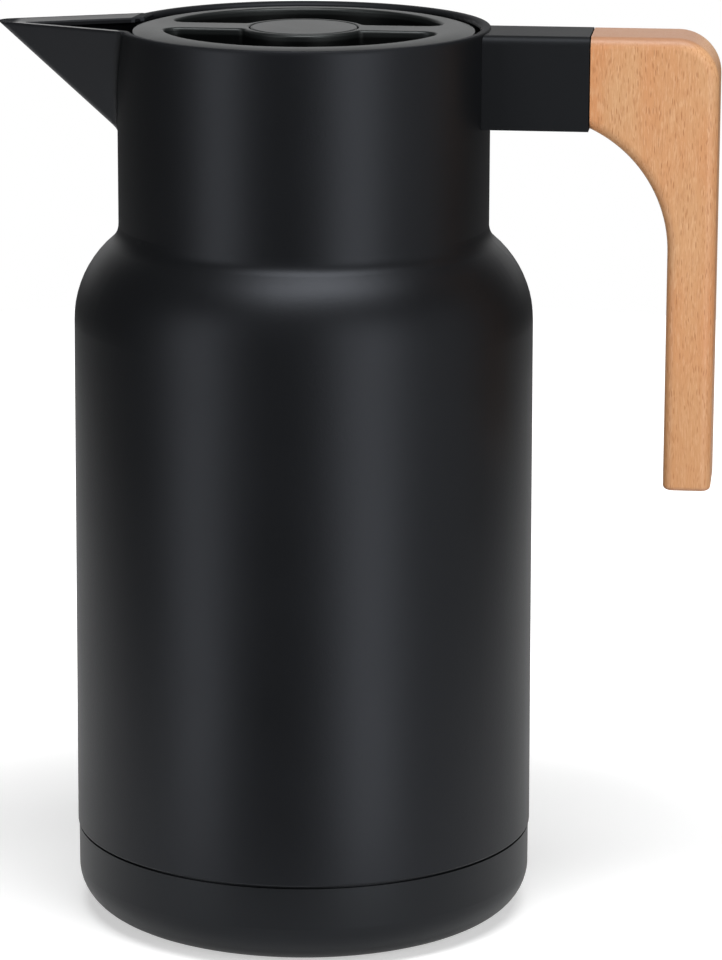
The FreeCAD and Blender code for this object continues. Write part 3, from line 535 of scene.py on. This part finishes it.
def cross_screw(head, head_height, shank, length, pitch):
    """Pan-head screw along +Z, face at zero. Rows run from the middle of the face over its dome, up
    the side, under the head and along the shank. The recess sinks by its depth where min(|x|, |y|)
    is within the blade's half width, which tapers outwards. The thread is
    shank - depth * triangle(z / pitch - turn)."""
    turn = np.arange(SCREW_TURNS) * 2 * pi / SCREW_TURNS
    face = np.linspace(0, 1, FACE_ROWS)[:, None] * head * FACE_SHARE
    x, y = face * np.cos(turn), face * np.sin(turn)
    dome = head_height * DOME_SHARE * (face / head) ** 2
    arm = np.minimum(np.abs(x), np.abs(y))
    reach = np.maximum(np.abs(x), np.abs(y))
    blade = head * BLADE_SHARE * (1 - BLADE_TAPER * reach / head)
    in_blade = np.clip((blade - arm) / (head * BLADE_SOFT), 0, 1)
    in_reach = np.clip((head * RECESS_REACH - reach) / (head * RECESS_SOFT), 0, 1)
    face_z = dome + in_blade * in_reach * head_height * RECESS_DEPTH
    side_r = np.array(SIDE_RADII)[:, None] * head
    side_z = np.array(SIDE_HEIGHTS)[:, None] * head_height
    rows = np.linspace(0, 1, SHANK_ROWS)[:, None]
    shank_z = head_height + (length - head_height) * rows
    wave = np.abs(((shank_z / pitch - turn / (2 * pi)) % 1) * 2 - 1)
    point = np.clip((1 - rows) / POINT_SHARE, 0, 1) ** POINT_CURVE
    shank_r = (shank - shank * THREAD_SHARE * wave) * point
    level = 0 * turn
    radius = np.concatenate([face + level, side_r + level, shank_r])
    height = np.concatenate([face_z, side_z + level, shank_z + level])
    return np.stack([radius * np.cos(turn), radius * np.sin(turn), height], axis=-1)


def screw_set(name, spots, grid):
    """The same screw at each spot, in one mesh: the rows of all of them, joined only within one."""
    whole = bmesh.new()
    for spot in spots:
        part = skin(name, grid + np.array(spot), around=True, sharp=radians(35))
        whole.from_mesh(part)
        bpy.data.meshes.remove(part)
    mesh = bpy.data.meshes.new(name)
    whole.to_mesh(mesh)
    whole.free()
    return mesh


GRIP_HEAD_HEIGHT = 0.0016
GRIP_SHANK = 0.00175
GRIP_PITCH = 0.0011
low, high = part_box("grip_screws")
grip_head = (high.x - low.x) / 2
grip_screw = cross_screw(grip_head, GRIP_HEAD_HEIGHT, GRIP_SHANK, high.z - low.z, GRIP_PITCH)
screw_y = high.y - grip_head
screw_spots = [((low.x + high.x) / 2, y, low.z) for y in (screw_y, -screw_y)]
grip_screws = screw_set("grip_screw_pair", screw_spots, grip_screw)
put("grip_screw_pair", grip_screws, small_steel, "jug", "steel", "grip_screws")


# The grip: one piece of beech, sawn with the fibres upright, its edges rounded on a router and
# oiled. Short brown rays show on the faces, and the ends of the fibres on top and below.
PALE_WOOD = (0.57, 0.315, 0.155, 1)
ORANGE_WOOD = (0.56, 0.252, 0.108, 1)
RING_WOOD = (0.53, 0.255, 0.112, 1)
STREAK_WOOD = (0.50, 0.225, 0.092, 1)
GLINT_WOOD = (0.69, 0.42, 0.242, 1)
DASH_WOOD = (0.42, 0.175, 0.066, 1)
RAY_WOOD = (0.36, 0.140, 0.048, 1)
LOW_WOOD = (0.46, 0.195, 0.072, 1)
PALE_END = (0.47, 0.245, 0.142, 1)
DARK_END = (0.34, 0.165, 0.090, 1)
RING_SLANT = (230, 470, 6)
LOW_REACH = 0.06
TOP_END_AND_SHADE = (0.0030, 0.0004)
FOOT_END = (0.0014, 0.0002)


def oiled_beech():
    """Colour: pale and orange patches, slow ring lines, fine wavy dashes, dark ones and pale ones,
    drawn out along Z to about 0.3 x 0.3 x 3 mm, and short brown rays about as wide. The wood is
    deeper towards its low end, and pinker where the fibres end, on top and below. On top this
    colour reaches down over the rounded edge as painted shade."""
    material, tree, at = new_finish("oiled_beech")
    slow = noise(stretched(at, 26, 26, 11), 1.0, 1.0) - 0.5
    quick = noise(stretched(at, 240, 240, 95), 1.0, 1.0) - 0.5
    sway = slow * 0.0022 + quick * 0.0012
    lean = Shade.node(tree, "ShaderNodeCombineXYZ", None, {0: sway, 1: sway, 2: 0.0})
    fibre_at = Shade.node(tree, "ShaderNodeVectorMath", {"operation": "ADD"}, {0: at, 1: lean})
    patches = noise(stretched(at, 75, 75, 22), 1.0, 2.0)
    dashes = noise(stretched(fibre_at, 3100, 3100, 330), 1.0, 2.0, 0.55)
    glints = noise(stretched(fibre_at, 3000, 3000, 330), 1.0, 2.0, 0.55)
    streaks = noise(stretched(fibre_at, 520, 520, 26), 1.0, 2.0)
    phase = along(fibre_at, RING_SLANT) + patches * 1.6
    rings = rise(abs(phase.maths("FRACT", phase) - 0.5), 0.22, 0.5)
    cells = Shade.node(
        tree,
        "ShaderNodeTexVoronoi",
        {"feature": "F1"},
        {"Vector": stretched(fibre_at, 1800, 1800, 290), "Scale": 1.0, "Randomness": 1.0},
    )
    chance = Shade.node(tree, "ShaderNodeSeparateColor", None, {0: cells.also("Color")})
    rays = rise(cells, 0.36, 0.16) * rise(chance, 0.2, 0.5)
    dark = rise(dashes, 0.50, 0.68)
    light = rise(glints, 0.50, 0.68)
    pale = tint(rise(patches, 0.3, 0.7), PALE_WOOD, ORANGE_WOOD)
    ringed = tint(rings * 0.25, pale, RING_WOOD)
    streaked = tint(rise(streaks, 0.48, 0.80) * 0.40, ringed, STREAK_WOOD)
    glinting = tint(light * 0.45, streaked, GLINT_WOOD)
    dashed = tint(dark * 0.40, glinting, DASH_WOOD)
    rayed = tint(rays * 0.66, dashed, RAY_WOOD)
    height = height_of(at)
    low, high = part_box("handle_grip")
    deepened = tint(rise(height, low.z + LOW_REACH, low.z) * 0.30, rayed, LOW_WOOD)
    # Painted shade: the end-grain colour on top reaches 3 mm down over the rounded edge.
    top_end_and_shade = rise(height, high.z - TOP_END_AND_SHADE[0], high.z - TOP_END_AND_SHADE[1])
    on_foot = rise(height, low.z + FOOT_END[0], low.z + FOOT_END[1])
    ends = top_end_and_shade + on_foot
    end_dots = noise(stretched(at, 300, 2600, 2600), 1.0, 2.0)
    end_wood = tint(end_dots, PALE_END, DARK_END)
    lay(
        tree,
        Base_Color=tint(ends * 0.85, deepened, end_wood),
        Roughness=0.42 + dark * 0.12 + rays * 0.10,
        Specular_IOR_Level=0.38,
        Normal=bumped(light * 0.4 - dark * 0.5 - rays * 0.5, 0.22, 0.00010),
    )
    return material


wear(oiled_beech(), "handle_grip")


# The stopper: a tube with pour windows and three lugs, the seat plate screwed under it, and a
# soft ring with three lips that seals in the flask's mouth. Grey-black food plastic and silicone.
def inner_black():
    """Smooth moulding, a little paler and glossier than the outside plastic."""
    material, tree, at = new_finish("inner_black")
    skin_grain = noise(at, 1500, 2.0)
    flow = noise(stretched(at, 1, 1, 0.3), 60, 2.0)
    lay(
        tree,
        Base_Color=tint(flow, (0.010, 0.0105, 0.011, 1), (0.016, 0.0165, 0.017, 1)),
        Roughness=0.34 + flow * 0.10 + skin_grain * 0.05,
        Specular_IOR_Level=0.4,
        Normal=bumped(skin_grain, 0.1, 0.00006),
    )
    return material


wear(inner_black(), "stopper_body", "seat_plate", "stem_bush")
silicone = soft_rubber("silicone", (0.030, 0.030, 0.031, 1), (0.048, 0.048, 0.049, 1), 1300)
wear(silicone, "valve_seal")

GASKET_LIPS = 3
GASKET_WIDTH = 0.003
LIP_DEPTH = 0.0011
LIP_ROWS = 91


def lipped_ring():
    """Outside radius: edge - depth * (1 - |sin(lips pi h)|) over the height h from 0 to 1."""
    low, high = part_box("stopper_gasket")
    inner = high.x - GASKET_WIDTH
    h = np.linspace(0, 1, LIP_ROWS)
    lips = high.x - LIP_DEPTH * (1 - np.abs(np.sin(GASKET_LIPS * pi * h)))
    radius = np.concatenate([[inner], lips, [inner, inner]])
    height = np.concatenate([[low.z], low.z + h * (high.z - low.z), [high.z, low.z]])
    return turned(radius, height)


gasket = skin("lipped_gasket", lipped_ring(), around=True)
put("lipped_gasket", gasket, silicone, "lid", "soft_ring", "stopper_gasket")

SEAT_HEAD = 0.0026
SEAT_HEAD_HEIGHT = 0.0014
SEAT_SHANK = 0.0014
SEAT_PITCH = 0.0008
low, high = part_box("seat_screws")
seat_ring = high.y - SEAT_HEAD
seat_screw = cross_screw(SEAT_HEAD, SEAT_HEAD_HEIGHT, SEAT_SHANK, high.z - low.z, SEAT_PITCH)
seat_turns = [radians(90 + 120 * step) for step in range(3)]
seat_spots = [(seat_ring * cos(turn), seat_ring * sin(turn), low.z) for turn in seat_turns]
seat_screws = screw_set("seat_screw_set", seat_spots, seat_screw)
put("seat_screw_set", seat_screws, small_steel, "lid", "steel", "seat_screws")


# The button's spring: round steel wire in four and a half open turns, standing on the hub's floor
# with the button on top; on the real lid it shortens by the button's travel. It gets a mesh of its
# own.
COIL_RADIUS = 0.0084
COIL_TURNS = 4.5
COIL_ROWS = 300
WIRE_RADIUS = 0.0005
WIRE_STEPS = 12


def wound_wire(foot, head):
    """Upright circles of the wire's radius along a helix that climbs evenly from foot to head."""
    turn = np.linspace(0, COIL_TURNS * 2 * pi, COIL_ROWS)[:, None]
    ring = np.linspace(0, 2 * pi, WIRE_STEPS, endpoint=False)[None, :]
    reach = COIL_RADIUS + WIRE_RADIUS * np.cos(ring)
    climb = foot + WIRE_RADIUS + (head - foot - 2 * WIRE_RADIUS) * turn / turn[-1]
    rows = (reach * np.cos(turn), reach * np.sin(turn), climb + WIRE_RADIUS * np.sin(ring))
    return np.stack(rows, axis=-1)


spring_low, spring_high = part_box("button_spring")
coil = skin("wound_spring", wound_wire(spring_low.z, spring_high.z), around=True, ends=True)
spring = put("wound_spring", coil, small_steel, "lid", "steel", "button_spring")
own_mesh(spring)


# The lid cover: a moulded disc in the rim with two deep finger wells either side of a cross bar,
# and the round push button in its hub. Satin black plastic that mirrors the bright surroundings.
WELL_EDGE = 0.0017
WELL_SHADE_DEPTH = 0.0024
# Painted shade: the wells are coloured darker towards their floor.
WELL_SHADE_BLACK = (0.0012, 0.0014, 0.0014, 1)


def satin_lid():
    """Satin moulding: a fine grain, a few dull patches, glossier in the wells, whose colour is
    painted darker as shade with flat black mixed in.
    """
    material, tree, at = new_finish("satin_lid")
    grain = noise(at, 2300, 2.0, 0.6)
    dull = noise(at, 70, 3.0)
    # Deeper in the wells the coat is glossier, and painted shade darkens the colour and mixes in
    # flat black.
    well_gloss_and_shade = rise(height_of(at), RIM_HEIGHT - WELL_EDGE, RIM_HEIGHT - WELL_SHADE_DEPTH)
    face = tint(dull, (0.0034, 0.0042, 0.0042, 1), (0.0058, 0.0070, 0.0070, 1))
    lay(
        tree,
        Base_Color=tint(well_gloss_and_shade, face, WELL_SHADE_BLACK),
        Roughness=0.35 + grain * 0.08 + dull * 0.08 - well_gloss_and_shade * 0.12,
        Specular_IOR_Level=0.48,
        Specular_Tint=(0.94, 1.0, 1.0, 1),
        painted_shade=well_gloss_and_shade * 0.2,
        Normal=bumped(grain, 0.12, 0.00007),
    )
    return material


wear(satin_lid(), "lid_cover", "push_button")


# The studio: a round pale table, a white backdrop behind it, two tall soft boxes in front that
# reach below the table's edge, a weak one on the right, and one soft box overhead.
TABLE_RADIUS = 0.46
TABLE_SHIFT = 0.34
TABLE_TONE = 0.72
TABLE_GLOW = 0.48
TABLE_SHEEN = 0.30
EDGE_GLOW = 0.5
EDGE_SPAN = (0.12, 0.24)
BACKDROP = (-0.1219, 0.9925, 0.0)


def looked_at(tree):
    """Two shares: what the camera sees itself, and what it sees mirrored or through glass."""
    straight = Shade.node(tree, "ShaderNodeLightPath", out="Is Camera Ray")
    return straight, straight.also("Is Glossy Ray") + straight.also("Is Transmission Ray")


def pale_paper():
    """Pale matte paper that glows, where it is looked at or mirrored, by the share of white that
    the lamps leave short, so its shadow stays. The glow grows towards the table's edge."""
    material, tree, at = new_finish("pale_paper")
    straight, mirrored = looked_at(tree)
    edge = straight * rise(length_of(at), *EDGE_SPAN) * EDGE_GLOW
    tone = (TABLE_TONE, TABLE_TONE, TABLE_TONE, 1)
    paper = Shade.node(tree, "ShaderNodeBsdfDiffuse", None, {"Color": tone})
    strength = straight * TABLE_GLOW + mirrored * TABLE_SHEEN + edge
    glow = Shade.node(tree, "ShaderNodeEmission", None, {"Strength": strength})
    both = Shade.node(tree, "ShaderNodeAddShader", None, {0: paper, 1: glow})
    Shade.node(tree, "ShaderNodeOutputMaterial", None, {"Surface": both})
    return material


table_top = turned([0, TABLE_RADIUS], [0, 0]) + TABLE_SHIFT * np.array(BACKDROP)
floor_mesh = skin("floor", table_top, around=True)
floor_mesh.materials.append(pale_paper())
floor = stand("floor", floor_mesh)

ROOM_LIGHT = 0.09
BACKDROP_SPAN = (0.74, 0.94)
HORIZON_SPAN = (-0.06, 0.06)


def studio_world():
    """Grey room light all round, white towards the backdrop, and white wherever it is looked at."""
    world = bpy.data.worlds.new("studio")
    bpy.context.scene.world = world
    world.use_nodes = True
    tree = world.node_tree
    tree.nodes.clear()
    towards = Shade.node(tree, "ShaderNodeTexCoord", out="Generated")
    straight, mirrored = looked_at(tree)
    facing = rise(along(towards, BACKDROP), *BACKDROP_SPAN)
    above = rise(height_of(towards), *HORIZON_SPAN)
    white = straight + facing * above * mirrored
    seen = white.maths("MINIMUM", white, 1.0)
    strength = ROOM_LIGHT + seen * (1.0 - ROOM_LIGHT)
    sockets = {"Color": (1, 1, 1, 1), "Strength": strength}
    room = Shade.node(tree, "ShaderNodeBackground", None, sockets)
    Shade.node(tree, "ShaderNodeOutputWorld", None, {"Surface": room})


studio_world()


def soft_box(name, place, aim, width, height, radiance):
    """A flat lamp of this brightness, square to the line from its place to the aim."""
    lamp = bpy.data.lights.new(name, "AREA")
    lamp.shape = "RECTANGLE"
    lamp.size = width
    lamp.size_y = height
    lamp.energy = radiance * pi * width * height
    box = stand(name, lamp)
    box.location = place
    box.rotation_euler = (Vector(aim) - Vector(place)).to_track_quat("-Z", "Y").to_euler()
    box.visible_camera = False


def around(azimuth, distance, height):
    """A place by its direction seen from above, its distance from the axis and its height."""
    return (distance * cos(radians(azimuth)), distance * sin(radians(azimuth)), height)


soft_box("left_box", around(-134, 0.68, 0.02), (0, 0, 0.02), width=0.27, height=1.05, radiance=3.0)
soft_box("right_box", around(-52, 0.68, 0.02), (0, 0, 0.02), width=0.31, height=1.05, radiance=3.7)
soft_box("top_box", around(-70, 0.34, 1.2), (0, 0, 0.2), width=0.85, height=0.42, radiance=11.2)
soft_box("right_fill", around(-12, 0.72, 0.05), (0, 0, 0.05), width=0.5, height=1.05, radiance=0.55)


# The camera: at the photograph's height and angle, with a long lens. Its shift sets the carafe
# left of the middle, where the photograph has it.
CAMERA_PLACE = (0.1361, -1.1082, 0.3867)
CAMERA_TURN = radians(7.0)
CAMERA_DIP = radians(13.716)
CAMERA_LENS = 164.71
CAMERA_SENSOR = 36.0
CAMERA_SHIFT = 0.0595
camera_data = bpy.data.cameras.new("camera")
camera_data.lens = CAMERA_LENS
camera_data.sensor_width = CAMERA_SENSOR
camera_data.shift_x = CAMERA_SHIFT
camera = stand("camera", camera_data)
camera.location = CAMERA_PLACE
level = cos(CAMERA_DIP)
sight = (-sin(CAMERA_TURN) * level, cos(CAMERA_TURN) * level, -sin(CAMERA_DIP))
camera.rotation_euler = Vector(sight).to_track_quat("-Z", "Y").to_euler()
bpy.context.scene.camera = camera
bpy.context.scene.view_settings.view_transform = "Standard"
